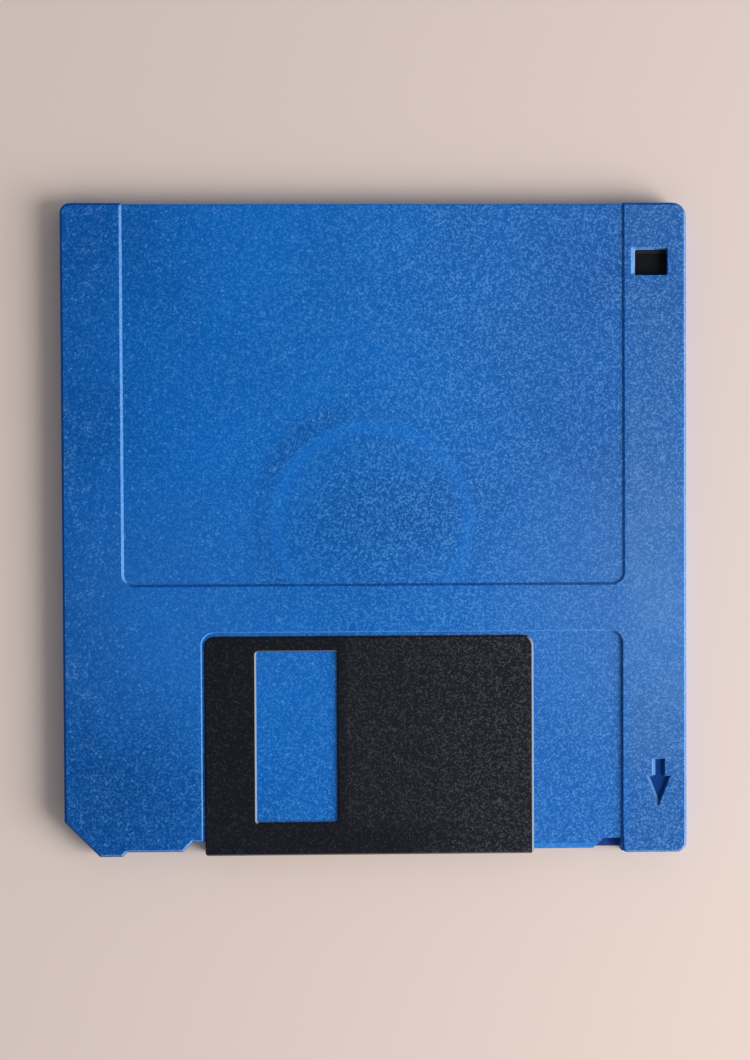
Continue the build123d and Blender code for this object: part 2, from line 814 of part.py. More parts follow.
nodes = {
    "upper_shell": upper_shell(),
    "lower_shell": lower_shell(),
    "shutter": shutter(),
    "shutter_spring": shutter_spring(),
    "write_protect_tab": write_protect_tab(),
    "magnetic_disk": magnetic_disk(),
    "hub": hub(),
    "hub_adhesive_ring": hub_adhesive_ring(),
    "upper_liner": liner(upper_liner_bore, ceiling_bottom - liner_thickness),
    "lower_liner": liner(lower_liner_bore, floor_top),
    "liner_lifter": liner_lifter(),
    "hub_wear_disc": hub_wear_disc(),
}

os.makedirs("parts", exist_ok=True)
for name, shape in nodes.items():
    export_step(shape, f"parts/{name}.step")
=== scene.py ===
from math import asin, atan2, cos, hypot, pi, radians, sin, sqrt

import bpy
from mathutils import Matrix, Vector


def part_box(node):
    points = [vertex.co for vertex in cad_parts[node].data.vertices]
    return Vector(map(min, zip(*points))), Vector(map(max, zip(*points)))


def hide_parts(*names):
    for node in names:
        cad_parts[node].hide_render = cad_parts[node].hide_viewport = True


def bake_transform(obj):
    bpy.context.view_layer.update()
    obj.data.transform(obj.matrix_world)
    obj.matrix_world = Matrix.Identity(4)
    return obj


bl_info = {
    "name": "Floppy disk finishes",
    "version": (1, 0, 0),
    "blender": (4, 5, 0),
    "location": "3D View > Sidebar > Floppy",
    "description": "Gives the packed floppy disk its materials, its wire spring and a studio",
    "category": "Object",
}

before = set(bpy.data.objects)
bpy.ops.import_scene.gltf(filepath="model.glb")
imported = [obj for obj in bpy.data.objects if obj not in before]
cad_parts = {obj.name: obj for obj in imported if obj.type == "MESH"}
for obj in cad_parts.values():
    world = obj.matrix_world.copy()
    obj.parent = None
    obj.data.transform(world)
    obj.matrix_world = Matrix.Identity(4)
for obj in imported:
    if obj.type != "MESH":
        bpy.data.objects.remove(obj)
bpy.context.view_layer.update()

MM = 0.001
CASE_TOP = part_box("upper_shell")[1].z
LEFT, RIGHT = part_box("upper_shell")[0].x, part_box("upper_shell")[1].x
SHUTTER_END, LABEL_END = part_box("upper_shell")[0].y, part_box("upper_shell")[1].y
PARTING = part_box("lower_shell")[1].z
HUB_Y = (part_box("hub")[0].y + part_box("hub")[1].y) / 2
# The insertion arrow's tip, and the direction square to the left side of its head.
ARROW_TIP = (RIGHT - 4.1 * MM, SHUTTER_END + 6.6 * MM, CASE_TOP)
ARROW_SIDE = (0.931, 0.364, 0.0)
# Middles of four places on the label side: the faint ring over the hub, which shows 0.4 mm
# beside the hub's axis, the cut corner, and where a thumb and a palm rub the case.
RING_CENTRE = (-0.4 * MM, HUB_Y, CASE_TOP)
CUT_CORNER = (LEFT + 12 * MM, SHUTTER_END + 7 * MM, CASE_TOP)
THUMB = (RIGHT - 6 * MM, -9 * MM, CASE_TOP)
PALM = (-30 * MM, -12 * MM, CASE_TOP)

# How finely the spring's wire is drawn.
WIRE_SIDES = 14
LEG_STEPS = 14
BEND_STEPS = 6
COIL_STEPS_PER_TURN = 36

FLOOR_SIZE = 3.0
FLOOR_Z = -0.02 * MM  # Just under the disk, so that the two faces don't flicker.
KEY_PLACE = (0.526, -0.19, 0.29)
KEY_SIZE = 0.48
WINDOW_SIDE = (0.95, -0.3, 0.0)  # Where the light from all round is strongest.
# The camera that was worked out for the photo. Its focal length is in pixels of the frame.
CAMERA_PLACE = (-7.15 * MM, 6.12 * MM, 280 * MM)
CAMERA_TURN = (-0.0220, -0.0257, -0.0047)
FOCAL_PIXELS = 1922.25
FRAME_HEIGHT_PIXELS = 1060
SENSOR_HEIGHT_MM = 36.0

# A wave texture repeats each time its scaled coordinate grows by this much.
WAVE_PERIOD = pi / 10

# Settings that many nodes of the materials share.
SMOOTH = {"interpolation_type": "SMOOTHSTEP"}
PLUS = {"operation": "ADD"}
TIMES = {"operation": "MULTIPLY"}
HIGHEST = {"operation": "MAXIMUM"}
APART = {"operation": "DISTANCE"}
TINT = {"data_type": "RGBA"}


def linear(hex_colour):
    """Turns an sRGB hex colour into the linear values that Blender uses, with alpha 1."""
    channels = [int(hex_colour[i:i + 2], 16) / 255 for i in (0, 2, 4)]
    return (*(c / 12.92 if c <= 0.04045 else ((c + 0.055) / 1.055) ** 2.4 for c in channels), 1.0)


def per_metre(millimetres):
    """Scale of a texture whose grain is that many millimetres across."""
    return 1000.0 / millimetres


def wave_scale(millimetres):
    """Scale of a wave texture whose lines are that many millimetres apart."""
    return WAVE_PERIOD * per_metre(millimetres)


def add_node(tree, kind, *values, output=0, **settings):
    """Adds a node with its settings, fills or links its inputs in order, returns an output."""
    node = tree.nodes.new("ShaderNode" + kind)
    for name, value in settings.items():
        setattr(node, name, value)
    for socket, value in zip([socket for socket in node.inputs if socket.enabled], values):
        if isinstance(value, bpy.types.NodeSocket):
            tree.links.new(value, socket)
        else:
            socket.default_value = value
    if isinstance(output, str):
        return node.outputs[output]
    return [socket for socket in node.outputs if socket.enabled][output]


def start_material(name, constants):
    """A new material, its tree, its shader with fixed values set, and its place in metres."""
    material = bpy.data.materials.new(name)
    material.use_nodes = True
    shader = material.node_tree.nodes["Principled BSDF"]
    for key, value in constants.items():
        shader.inputs[key].default_value = value
    place = add_node(material.node_tree, "TexCoord", output="Object")
    return material, material.node_tree, shader, place


def connect(tree, shader, colour, rough, bump=None):
    """Links a material's colour, its roughness and its bump to its shader."""
    tree.links.new(colour, shader.inputs["Base Color"])
    tree.links.new(rough, shader.inputs["Roughness"])
    if bump is not None:
        tree.links.new(bump, shader.inputs["Normal"])


def dress(node_name, material):
    """Puts a material on a CAD node's slots."""
    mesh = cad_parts[node_name].data
    if not mesh.materials:
        mesh.materials.append(material)
    for index in range(len(mesh.materials)):
        mesh.materials[index] = material


class CaseLook(bpy.types.PropertyGroup):
    blue: bpy.props.FloatVectorProperty(
        name="Case colour", description="Blue of the moulded shells", subtype="COLOR",
        size=4, min=0, max=1, default=linear("0068C6"))
    deep_blue: bpy.props.FloatVectorProperty(
        name="Deep tone", description="Darker tone of the mottling", subtype="COLOR",
        size=4, min=0, max=1, default=linear("00458E"))
    speck: bpy.props.FloatVectorProperty(
        name="Speck colour", description="Tiny lit facets of the spark-eroded face",
        subtype="COLOR", size=4, min=0, max=1, default=linear("388AD5"))
    # Also the colour of the painted highlights on lamp-facing slopes and rims, on bright rare
    # pits and on the arrow's floor.
    scuff_and_highlight: bpy.props.FloatVectorProperty(
        name="Scuff colour", description="Whitish haze on rubbed plastic", subtype="COLOR",
        size=4, min=0, max=1, default=linear("7CB6EC"))
    # Also the colour of the painted sheen on the right border and towards the lit right side.
    dust: bpy.props.FloatVectorProperty(
        name="Dust colour", description="Dry dust in the grain", subtype="COLOR",
        size=4, min=0, max=1, default=linear("A1C6CE"))
    grain_mm: bpy.props.FloatProperty(
        name="Grain (mm)", description="Width of the spark-erosion pits", min=0.05, max=2,
        default=0.22)
    wear: bpy.props.FloatProperty(
        name="Wear", description="How much haze the raised faces carry", subtype="FACTOR",
        min=0, max=1, default=0.5)


class ShutterLook(bpy.types.PropertyGroup):
    black: bpy.props.FloatVectorProperty(
        name="Shutter colour", description="Near-black plastic of the shutter", subtype="COLOR",
        size=4, min=0, max=1, default=linear("13161E"))
    speck: bpy.props.FloatVectorProperty(
        name="Speck colour", description="Grey specks of the grained field", subtype="COLOR",
        size=4, min=0, max=1, default=linear("50535D"))
    grain_mm: bpy.props.FloatProperty(
        name="Grain (mm)", description="Width of the grain on the shutter", min=0.05, max=2,
        default=0.2)
    field_start: bpy.props.FloatProperty(
        name="Grained field from", description="Where the grained field starts along X",
        unit="LENGTH", default=-4.6 * MM)


class SpringShape(bpy.types.PropertyGroup):
    wire: bpy.props.FloatProperty(
        name="Wire", description="Diameter of the spring wire", unit="LENGTH",
        min=0.1 * MM, max=1 * MM, default=0.44 * MM)
    coil: bpy.props.FloatProperty(
        name="Coil radius", description="Radius of the coil's centre line", unit="LENGTH",
        min=0.5 * MM, max=3 * MM, default=1.3 * MM)
    pitch: bpy.props.FloatProperty(
        name="Coil pitch", description="Rise of the wire in one turn", unit="LENGTH",
        min=0.1 * MM, max=2 * MM, default=0.48 * MM)
    tip: bpy.props.FloatProperty(
        name="Tip", description="Length of each bent tip", unit="LENGTH",
        min=0.2 * MM, max=2 * MM, default=0.75 * MM)
    bend: bpy.props.FloatProperty(
        name="Tip bend", description="Radius of the bend of each tip", unit="LENGTH",
        min=0.05 * MM, max=1 * MM, default=0.35 * MM)
    fixed_end: bpy.props.FloatVectorProperty(
        name="Fixed end", description="Where the wire hooks into the case", subtype="XYZ",
        unit="LENGTH", size=3, default=(42.3 * MM, -43.8 * MM, 1.27 * MM))
    moving_end: bpy.props.FloatVectorProperty(
        name="Moving end", description="Where the wire hooks into the shutter", subtype="XYZ",
        unit="LENGTH", size=2, default=(16.05 * MM, -44.25 * MM))
    coil_centre: bpy.props.FloatVectorProperty(
        name="Coil centre", description="Middle of the coil", subtype="XYZ",
        unit="LENGTH", size=2, default=(29.175 * MM, -36.636 * MM))


class MediaLook(bpy.types.PropertyGroup):
    film: bpy.props.FloatVectorProperty(
        name="Film colour", description="Dark brown of the magnetic coating", subtype="COLOR",
        size=4, min=0, max=1, default=linear("2A221D"))
    steel: bpy.props.FloatVectorProperty(
        name="Hub colour", description="Bare stainless steel of the hub", subtype="COLOR",
        size=4, min=0, max=1, default=linear("C9C7C3"))
    liner: bpy.props.FloatVectorProperty(
        name="Liner colour", description="Off-white fibres of the liners", subtype="COLOR",
        size=4, min=0, max=1, default=linear("E6E3DA"))


class StudioLook(bpy.types.PropertyGroup):
    floor: bpy.props.FloatVectorProperty(
        name="Floor colour", description="Plain pale floor", subtype="COLOR",
        size=4, min=0, max=1, default=linear("E2D1C8"))
    key_power: bpy.props.FloatProperty(
        name="Key light", description="Power of the large soft light", unit="POWER",
        min=0, max=100, default=5.3)
    ambient: bpy.props.FloatProperty(
        name="Ambient", description="Strength of the light from all round", min=0, max=2,
        default=0.75)


def case_material(look):
    """The shells' plastic, with its grain, mottling, rubbed faces, painted highlights, painted
    shade and the faint hub ring.
    """
    # ABS, injection-moulded against spark-eroded steel: a dry, even surface full of tiny pits,
    # each with one lit side, so the blue looks dusted with lighter specks. The smallest real
    # pits are finer than the photo's pixels; they are drawn as coarse as the photo shows them.
    material, tree, shader, place = start_material(
        "ABS moulded in a spark-eroded mould", {"IOR": 1.54, "Specular IOR Level": 0.1})
    x, y, z = add_node(tree, "SeparateXYZ", place).node.outputs
    normal = add_node(tree, "TexCoord", output="Normal")
    facing_x, facing_y, facing_z = add_node(tree, "SeparateXYZ", normal).node.outputs
    from_ring, from_corner, from_thumb, from_palm = [
        add_node(tree, "VectorMath", place, point, **APART)
        for point in (RING_CENTRE, CUT_CORNER, THUMB, PALM)]
    from_arrow_tip = add_node(
        tree, "VectorMath", add_node(tree, "VectorMath", place, ARROW_TIP, operation="SUBTRACT"),
        ARROW_SIDE, operation="DOT_PRODUCT")
    pits, rare_pits = [
        add_node(tree, "SeparateColor", add_node(
            tree, "TexVoronoi", place, per_metre(size), output="Color"))
        for size in (look.grain_mm, look.grain_mm * 1.3)]
    clouds, smears, blots, scratches, clumps, fine = [
        add_node(tree, "TexNoise", place, per_metre(size), detail, roughness)
        for size, detail, roughness in (
            (16.0, 3.0, 0.5), (9.0, 2.0, 0.5), (3.5, 7.0, 0.7), (2.2, 6.0, 0.7),
            (look.grain_mm * 4, 2.0, 0.5), (look.grain_mm * 0.45, 2.0, 0.5))]

    # Each step goes smoothly from one level to another, from 0 to 1 where none is given.
    mask = {name: add_node(tree, "MapRange", *step, **SMOOTH) for name, step in {
        "label_side": (z, CASE_TOP - 0.5 * MM, CASE_TOP - 0.3 * MM),
        "proud": (z, CASE_TOP - 0.12 * MM, CASE_TOP - 0.03 * MM),

        # Over the hub the plastic is a little deeper, and round it the stop ring behind the
        # ceiling shows as a faint, smoother circle. Its brighter colour is a painted highlight,
        # stronger towards the lit right, and the darker band outside it on the left is painted
        # shade.
        "near_hub": (from_ring, 5 * MM, 13 * MM, 1.0, 0.0),
        "round_hub": (from_ring, 10 * MM, 26 * MM, 1.0, 0.0),
        "ring_inside": (from_ring, 12.3 * MM, 13.7 * MM),
        "ring_outside": (from_ring, 14.1 * MM, 15.5 * MM, 1.0, 0.0),
        "shade_inside": (from_ring, 14.1 * MM, 15.8 * MM),
        "shade_outside": (from_ring, 16.4 * MM, 19.0 * MM, 1.0, 0.0),
        "shade_left": (x, -9 * MM, 0.0, -1.0, 0.0),
        "ring_shade": (y, HUB_Y, HUB_Y + 9 * MM, 0.14, 0.34),
        "ring_end": (y, HUB_Y - 10.5 * MM, HUB_Y - 9 * MM),
        "ring_lit": (x, -13 * MM, 4 * MM, 0.2, 0.34),

        # The blue is darker towards the left, the side far from the lamp, which is painted shade.
        # Besides, the colorant is deeper at the other three sides, over the hub and in one
        # corner, and cloudy over 16 mm.
        "blue_share": (x, LEFT - 6 * MM, -16 * MM, 0.31, 0.87),
        "deep_right": (x, 0.0, RIGHT - 7 * MM, 0.0, -0.34),
        "not_by_shutter": (y, -15 * MM, 10 * MM, 0.45, 1.0),
        "deep_label_end": (y, 5 * MM, LABEL_END, 0.0, -0.12),
        "deep_shutter_end": (y, SHUTTER_END, SHUTTER_END + 24 * MM, -0.1, 0.0),
        "deep_corner": (from_corner, 4 * MM, 22 * MM, -0.4, 0.0),
        "low_border": (y, -32 * MM, -14 * MM, 1.0, 0.0),
        "cloudy": (clouds, 0.35, 0.65, -0.08, 0.08),

        # Dry dust lies in the grain where the disk is held. The right border, which stands proud,
        # carries dust and a painted sheen, and a painted sheen also grows towards the lit right
        # side. The left border carries scattered whitish haze.
        "right_border": (x, RIGHT - 10 * MM, RIGHT - 7 * MM),
        "less_at_label_end": (y, 5 * MM, LABEL_END - 6 * MM, 1.0, 0.35),
        "less_at_arrow": (y, SHUTTER_END + 4 * MM, SHUTTER_END + 22 * MM, 0.2, 1.0),
        "dusty_smears": (smears, 0.3, 0.7, 0.03, 0.08),
        "painted_sheen_to_right": (x, LEFT + 8 * MM, RIGHT - 2 * MM, 0.0, 0.028),
        "thumb_dust": (from_thumb, 6 * MM, 30 * MM, 0.06, 0.0),
        "palm_dust": (from_palm, 5 * MM, 26 * MM, 0.02, 0.0),
        "left_border": (x, LEFT + 2 * MM, LEFT + 8.5 * MM, 1.0, 0.0),
        "hazy_blots": (blots, 0.5, 0.68),
        "corner": (from_corner, 2 * MM, 9 * MM, 1.0, 0.0),
        "hazy_scratches": (scratches, 0.5, 0.75),
        "haze_grain": (pits, 0.4, 1.0, 0.25, 2.6),

        # Pits of the mould's face, each lit by chance. They are weaker at the left, at the
        # right and in the smooth ring, and strongest over the hub.
        "pit_light": (pits, 0.42, 1.0),
        "clumped": (clumps, 0.3, 0.7, 0.9, 1.1),
        "depth_from_left": (x, LEFT, 5 * MM, 0.37, 0.74),
        "depth_at_right": (x, 10 * MM, 28 * MM, 0.0, -0.26),
        "lit_side": (x, -10 * MM, RIGHT),
        "rare": (rare_pits, 0.94, 1.0, 0.0, 0.24),

        # Slopes and rims that face the lamp, on the right and towards the shutter end, are
        # painted pale: a painted highlight.
        "top_edge": (z, CASE_TOP - 0.3 * MM, CASE_TOP - 0.16 * MM),
        "rim_depth": (z, CASE_TOP - 0.7 * MM, CASE_TOP - 0.6 * MM, 0.0, 0.9),
        "rim_from": (x, RIGHT - 8.4 * MM, RIGHT - 8.2 * MM),
        "rim_to": (x, RIGHT - 1.5 * MM, RIGHT - 1.2 * MM, 1.0, 0.0),
        "to_right": (facing_x, 0.15, 0.4, 0.0, 0.52),
        "to_shutter_end": (facing_y, -0.6, -0.3, 0.28, 0.0),
        "highlight_grain": (pits, 0.0, 1.0, 0.75, 1.1),

        # Slopes that turn from the lamp, to the left and to the label end, get painted shade in a
        # darker blue, as do the arrow's polished floor, the ledge at the parting line and the
        # rolled edge at the label end, where shade falls.
        "near_top": (z, CASE_TOP - 0.55 * MM, CASE_TOP - 0.45 * MM),
        "to_left": (facing_x, -0.4, -0.15, 0.6, 0.0),
        "to_label_end": (facing_y, 0.15, 0.4, 0.0, 0.6),
        "arrow_from": (x, RIGHT - 9 * MM, RIGHT - 8.6 * MM),
        # The left part of the arrow's floor, at the foot of its stem and of its head, gets a
        # painted highlight.
        "stem_highlight": (x, RIGHT - 4.6 * MM, RIGHT - 4.4 * MM, 0.75, 0.0),
        "stem_part": (y, SHUTTER_END + 11.1 * MM, SHUTTER_END + 11.3 * MM),
        "head_highlight": (from_arrow_tip, 0.35 * MM, 0.5 * MM, 0.65, 0.0),
        "arrow_low": (z, CASE_TOP - 0.62 * MM, CASE_TOP - 0.58 * MM),
        "arrow_high": (z, CASE_TOP - 0.48 * MM, CASE_TOP - 0.44 * MM, 1.0, 0.0),
        "ledge_low": (z, PARTING - 0.1 * MM, PARTING - 0.05 * MM),
        "ledge_high": (z, PARTING + 0.05 * MM, PARTING + 0.1 * MM, 1.0, 0.0),
        "ledge_up": (facing_z, 0.8, 0.95, 0.0, 0.85),
        "label_end_shade": (y, LABEL_END - 0.5 * MM, LABEL_END - 0.2 * MM, 0.0, 0.5),

        # The slope that the shutter's fold runs over is polished, and is painted lighter where it
        # catches more light: a painted highlight.
        "lead_low": (z, CASE_TOP - 0.82 * MM, CASE_TOP - 0.74 * MM),
        "lead_high": (z, CASE_TOP - 0.47 * MM, CASE_TOP - 0.42 * MM, 1.0, 0.0),
        "lead_end": (y, SHUTTER_END + 1.55 * MM, SHUTTER_END + 1.6 * MM, 0.45, 0.0),
    }.items()}
    mask.update(pits=pits, fine=fine)
    for name, way, *parts in (
            ("over_hub", TIMES, "label_side", "near_hub"),
            ("ring", TIMES, "label_side", "ring_inside", "ring_outside", "ring_end"),
            ("ring_painted_highlight", TIMES, "ring", "ring_lit"),
            ("ring_shade", TIMES, "label_side", "shade_inside", "shade_outside", "ring_end",
             "shade_left", "ring_shade"),
            ("deep_hub", TIMES, "over_hub", -0.2),
            ("deep_round_hub", TIMES, "label_side", "round_hub", -0.2),
            ("deep_right", TIMES, "deep_right", "not_by_shutter"),
            ("deep_border", TIMES, "right_border", "low_border", -0.28),
            ("blue_share", PLUS, "blue_share", "ring_painted_highlight", "ring_shade", "deep_hub",
             "deep_round_hub", "deep_right", "deep_border", "deep_label_end",
             "deep_shutter_end", "deep_corner", "cloudy"),
            ("right_rub_and_sheen", TIMES, "proud", "right_border", "less_at_label_end", "less_at_arrow",
             "dusty_smears"),
            # This dust mask also holds the painted sheen of the right border and of the lit right
            # side.
            ("dust", PLUS, "right_rub_and_sheen", "painted_sheen_to_right", "thumb_dust", "palm_dust"),
            ("left_haze", TIMES, "proud", "left_border", "hazy_blots", look.wear * 0.36),
            ("corner_haze", TIMES, "proud", "corner", "hazy_scratches", look.wear * 0.14),
            ("haze", PLUS, "left_haze", "corner_haze"),
            ("haze", TIMES, "haze", "haze_grain"),
            ("depth_over_hub", TIMES, "over_hub", 0.1),
            ("depth", PLUS, "depth_from_left", "depth_at_right", "depth_over_hub"),
            ("ring_loss", TIMES, "ring", -0.15),
            ("depth_left_by_ring", PLUS, "ring_loss", 1.0),
            ("specks", TIMES, "pit_light", "clumped", "depth", "depth_left_by_ring"),
            ("rims", TIMES, "rim_depth", "rim_from", "rim_to"),
            ("highlight_edges", HIGHEST, "top_edge", "rims"),
            ("painted_highlight", HIGHEST, "to_right", "to_shutter_end"),
            ("painted_highlight", TIMES, "painted_highlight", "highlight_edges", "highlight_grain"),
            ("facing_away_shade", HIGHEST, "to_left", "to_label_end"),
            ("facing_away_shade", TIMES, "facing_away_shade", "near_top"),
            ("arrow_floor", TIMES, "arrow_from", "arrow_low", "arrow_high"),
            ("ledge", TIMES, "ledge_low", "ledge_high", "ledge_up"),
            ("painted_shade", HIGHEST, "facing_away_shade", "arrow_floor", "ledge", "label_end_shade"),
            ("stem_highlight", TIMES, "stem_highlight", "stem_part"),
            ("arrow_highlight", HIGHEST, "stem_highlight", "head_highlight"),
            ("arrow_highlight", TIMES, "arrow_highlight", "arrow_floor"),
            ("lead_highlight", TIMES, "lead_low", "lead_high", "lead_end"),
            ("relief", PLUS, "pits", "fine")):
        total, *rest = [mask.get(part, part) for part in parts]
        for part in rest:
            total = add_node(tree, "Math", total, part, **way)
        mask[name] = total

    body = add_node(tree, "Mix", mask["blue_share"], look.deep_blue, look.blue, **TINT)
    lit = add_node(tree, "Mix", mask["lit_side"], look.speck, linear("6CA5E5"), **TINT)
    for name, tint in (
            ("dust", look.dust), ("haze", look.scuff_and_highlight), ("specks", lit), ("rare", look.scuff_and_highlight),
            ("painted_highlight", look.scuff_and_highlight), ("painted_shade", linear("003A82")), ("arrow_highlight", look.scuff_and_highlight),
            ("lead_highlight", linear("2489DE"))):
        body = add_node(tree, "Mix", mask[name], body, tint, **TINT)
    rough = add_node(tree, "MapRange", pits, 0.0, 1.0, 0.5, 0.62, **SMOOTH)
    bump = add_node(tree, "Bump", 0.3, 0.05 * MM)
    tree.links.new(mask["relief"], bump.node.inputs["Height"])
    connect(tree, shader, body, rough, bump)
    return material


def shutter_material(look):
    """The shutter's plastic: smooth round the window, finely grained to the right of it."""
    # Polyacetal, injection-moulded: dense and slightly waxy. The mould is polished round the
    # window and etched on the wide field, which therefore looks dusted with grey.
    material, tree, shader, place = start_material(
        "Polyacetal moulded, part polished and part etched",
        {"IOR": 1.48, "Specular IOR Level": 0.18})
    x, y, z = add_node(tree, "SeparateXYZ", place).node.outputs
    normal = add_node(tree, "TexCoord", output="Normal")
    facing_x, facing_y, _ = add_node(tree, "SeparateXYZ", normal).node.outputs
    pits = add_node(tree, "SeparateColor", add_node(
        tree, "TexVoronoi", place, per_metre(look.grain_mm), output="Color"))
    clumps, smears, fine = [
        add_node(tree, "TexNoise", place, per_metre(size), detail, roughness)
        for size, detail, roughness in (
            (look.grain_mm * 5, 2.0, 0.5), (7.0, 4.0, 0.6), (look.grain_mm * 0.7, 2.0, 0.5))]
    mask = {name: add_node(tree, "MapRange", *step, **SMOOTH) for name, step in {
        "right_of_window": (x, look.field_start - 0.4 * MM, look.field_start + 0.8 * MM),
        "above_strip": (y, SHUTTER_END + 3.2 * MM, SHUTTER_END + 5.2 * MM),
        "past_strip": (x, 0.0, 16 * MM),
        "etched_pits": (pits, 0.5, 1.0, 0.0, 0.75),
        "clumped": (clumps, 0.3, 0.7, 0.8, 1.15),
        "towards_right": (x, look.field_start, 24 * MM, 0.48, 0.8),
        "rare": (pits, 0.7, 1.0, 0.0, 0.22),
        "near_top": (z, CASE_TOP - 0.4 * MM, CASE_TOP - 0.36 * MM),
        "to_right": (facing_x, 0.2, 0.6, 0.0, 0.85),
        "to_end": (facing_y, -0.6, -0.3, 0.3, 0.0),
        "shine": (smears, 0.3, 0.7, 0.36, 0.46),
    }.items()}
    beside = add_node(tree, "Math", mask["above_strip"], mask["past_strip"], **HIGHEST)
    field = add_node(tree, "Math", mask["right_of_window"], beside, **TIMES)
    etch = add_node(tree, "Math", mask["etched_pits"], mask["clumped"], **TIMES)
    etch = add_node(tree, "Math", etch, mask["towards_right"], **TIMES)
    specks = add_node(tree, "Mix", field, mask["rare"], etch)
    # Bevels that face the lamp, on the right and towards the shutter's end, are painted pale
    # grey: a painted highlight.
    painted_highlight = add_node(tree, "Math", mask["to_right"], mask["to_end"], **HIGHEST)
    painted_highlight = add_node(tree, "Math", painted_highlight, mask["near_top"], **TIMES)
    body = add_node(tree, "Mix", specks, look.black, look.speck, **TINT)
    body = add_node(tree, "Mix", painted_highlight, body, linear("8D949C"), **TINT)
    rough = add_node(tree, "Mix", field, mask["shine"], 0.52)
    depth = add_node(tree, "MapRange", field, 0.0, 1.0, 0.05, 0.4, **SMOOTH)
    bump = add_node(tree, "Bump", 0.5, 0.04 * MM)
    tree.links.new(add_node(tree, "Math", fine, depth, **TIMES), bump.node.inputs["Height"])
    connect(tree, shader, body, rough, bump)
    return material


def tab_material():
    """The write-protect slide's plastic."""
    # Polystyrene, injection-moulded in a plain milled mould: black with a soft shine and
    # faint parallel tool marks 0.3 mm apart.
    material, tree, shader, place = start_material(
        "Polystyrene moulded, milled mould", {"IOR": 1.59, "Specular IOR Level": 0.2})
    marks = add_node(tree, "TexWave", place, wave_scale(0.296), 0.6, 1.0,
                     output="Fac", wave_type="BANDS", bands_direction="Y")
    dust = add_node(tree, "TexNoise", place, per_metre(0.35), 3.0, 0.6)
    dust = add_node(tree, "MapRange", dust, 0.60, 0.80, 0.0, 0.35, **SMOOTH)
    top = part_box("write_protect_tab")[1].z
    # The raised ridge is painted lighter and the sunk dish darker: a painted highlight and
    # painted shade.
    ridge = add_node(tree, "MapRange", add_node(tree, "SeparateXYZ", place, output="Z"),
                     top - 0.15 * MM, top - 0.05 * MM, **SMOOTH)
    body = add_node(tree, "Mix", ridge, linear("0B0D12"), linear("202329"), **TINT)
    body = add_node(tree, "Mix", dust, body, linear("2B2F37"), **TINT)
    rough = add_node(tree, "MapRange", marks, 0.0, 1.0, 0.38, 0.5, **SMOOTH)
    bump = add_node(tree, "Bump", 0.25, 0.01 * MM)
    tree.links.new(marks, bump.node.inputs["Height"])
    connect(tree, shader, body, rough, bump)
    return material


def film_material(look):
    """The recording film."""
    # Polyester film coated with iron oxide in binder and burnished as it spins: very dark
    # brown, satin, with hair-fine circles that catch the light. Real circles are a few
    # micrometres apart; they are drawn 0.8 mm apart so that they can be seen.
    material, tree, shader, place = start_material(
        "Polyester film, oxide-coated and burnished", {"IOR": 1.6})
    centred = add_node(tree, "Mapping", place, (0.0, -HUB_Y, 0.0))
    circles = add_node(tree, "TexWave", centred, wave_scale(0.79), 1.2, 3.0, 1.5,
                       output="Fac", wave_type="RINGS", rings_direction="Z")
    clouds = add_node(tree, "TexNoise", place, per_metre(9.0), 4.0, 0.6)
    clouds = add_node(tree, "MapRange", clouds, 0.35, 0.65, **SMOOTH)
    body = add_node(tree, "Mix", clouds, look.film, linear("352B25"), **TINT)
    rough = add_node(tree, "MapRange", circles, 0.0, 1.0, 0.24, 0.34, **SMOOTH)
    bump = add_node(tree, "Bump", 0.12, 0.01 * MM)
    tree.links.new(circles, bump.node.inputs["Height"])
    connect(tree, shader, body, rough, bump)
    return material


def hub_material(look):
    """The hub's sheet metal."""
    # Ferritic stainless steel, cold-rolled and deep-drawn: bright, with straight rolling lines
    # 0.12 mm apart and a dull ring where the drive's magnet has rubbed.
    material, tree, shader, place = start_material(
        "Stainless steel, cold-rolled and pressed", {"Metallic": 1.0})
    along = add_node(tree, "Mapping", place, (0, 0, 0), (0, 0, 0), (0.04, 1.0, 1.0))
    lines = add_node(tree, "TexNoise", along, per_metre(0.12), 3.0, 0.6)
    blots = add_node(tree, "TexNoise", place, per_metre(1.2), 5.0, 0.5)
    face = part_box("hub")[0].z
    from_centre = add_node(tree, "VectorMath", place, (0.0, HUB_Y, face), **APART)
    rub = 1.0
    for step in ((from_centre, 8.6 * MM, 9.4 * MM), (from_centre, 11.0 * MM, 11.9 * MM, 1.0, 0.0),
                 (blots, 0.35, 0.65)):
        step = add_node(tree, "MapRange", *step, **SMOOTH)
        rub = add_node(tree, "Math", step, rub, **TIMES)
    dull = add_node(tree, "Math", rub, 0.35, **TIMES)
    body = add_node(tree, "Mix", dull, look.steel, linear("8F8C87"), **TINT)
    rough = add_node(tree, "MapRange", lines, 0.3, 0.7, 0.22, 0.36, **SMOOTH)
    rough = add_node(tree, "Math", rub, 0.12, rough, operation="MULTIPLY_ADD")
    bump = add_node(tree, "Bump", 0.2, 0.005 * MM)
    tree.links.new(lines, bump.node.inputs["Height"])
    connect(tree, shader, body, rough, bump)
    return material


